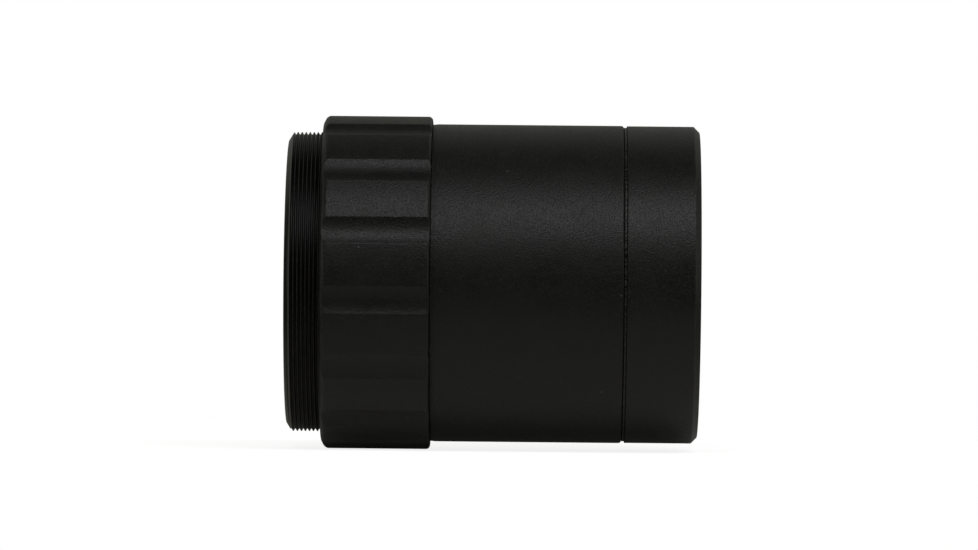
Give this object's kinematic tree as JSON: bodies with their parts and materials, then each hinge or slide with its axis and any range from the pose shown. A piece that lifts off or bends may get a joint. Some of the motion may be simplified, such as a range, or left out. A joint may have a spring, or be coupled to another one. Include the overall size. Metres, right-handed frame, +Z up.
{
  "type": "barlow lens",
  "caption": "Black tubular barlow lens with a male-threaded nose, a scalloped swivel ring, a plain barrel and a rear adapter ring.",
  "frame": {"origin": "on the optical axis, in the plane of the shoulder that the nose thread seats on", "axes": "+X along the optical axis from the nose to the rear adapter ring, +Z up, with the nose thread held level as in a focuser"},
  "size_m": [0.0766, 0.0622, 0.0621],
  "materials": {
    "anodised_shell": "fine bead-blasted black anodising",
    "anodised_inner": "turned and black anodised",
    "baffle_black": "dead-matte black paint",
    "coated_glass": "polished and anti-reflection coated",
    "glide_washer": "waxy low-friction plastic",
    "shim": "rolled shim stock",
    "spring_steel": "phosphated spring steel",
    "seal": "smooth black rubber"
  },
  "bodies": {
    "barrel": {"main_barrel": "anodised_shell", "front_glide_washer": "glide_washer", "rear_glide_washer": "glide_washer", "float_shim": "shim", "snap_ring": "spring_steel", "front_glare_stop": "baffle_black", "front_baffle_sleeve": "baffle_black", "rear_glare_stop": "baffle_black", "rear_baffle_sleeve": "baffle_black", "baffle_retaining_ring": "anodised_inner"},
    "coupling": {"coupling_ring": "anodised_shell"},
    "cell_seal": {"cell_o_ring": "seal"},
    "lens_group": {"lens_cell": "anodised_inner", "lens_retaining_ring": "anodised_inner", "lens_gasket": "seal", "front_element": "coated_glass", "middle_element": "coated_glass", "element_spacer": "anodised_inner", "rear_element": "coated_glass"},
    "adapter_seal": {"adapter_o_ring": "seal"},
    "adapter": {"adapter_ring": "anodised_shell"}
  },
  "joints": [
    {"name": "coupling_swivel", "type": "hinge", "parent": "coupling", "child": "barrel", "pos_m": [0, 0, 0], "axis": [1, 0, 0], "continuous": true},
    {"name": "cell_travel", "type": "slide", "parent": "barrel", "child": "cell_seal", "axis": [-1, 0, 0], "range_m": [0, 0.0075]},
    {"name": "cell_turn", "type": "hinge", "parent": "cell_seal", "child": "lens_group", "pos_m": [0, 0, 0], "axis": [-1, 0, 0], "range_deg": [0, 3600]},
    {"name": "adapter_travel", "type": "slide", "parent": "barrel", "child": "adapter_seal", "axis": [1, 0, 0], "range_m": [0, 0.0045]},
    {"name": "adapter_turn", "type": "hinge", "parent": "adapter_seal", "child": "adapter", "pos_m": [0, 0, 0], "axis": [1, 0, 0], "range_deg": [0, 2160]}
  ],
  "couplings": [
    {"joint": "cell_travel", "follows": "cell_turn", "m_per_rad": 0.00011937},
    {"joint": "adapter_travel", "follows": "adapter_turn", "m_per_rad": 0.00011937}
  ]
}
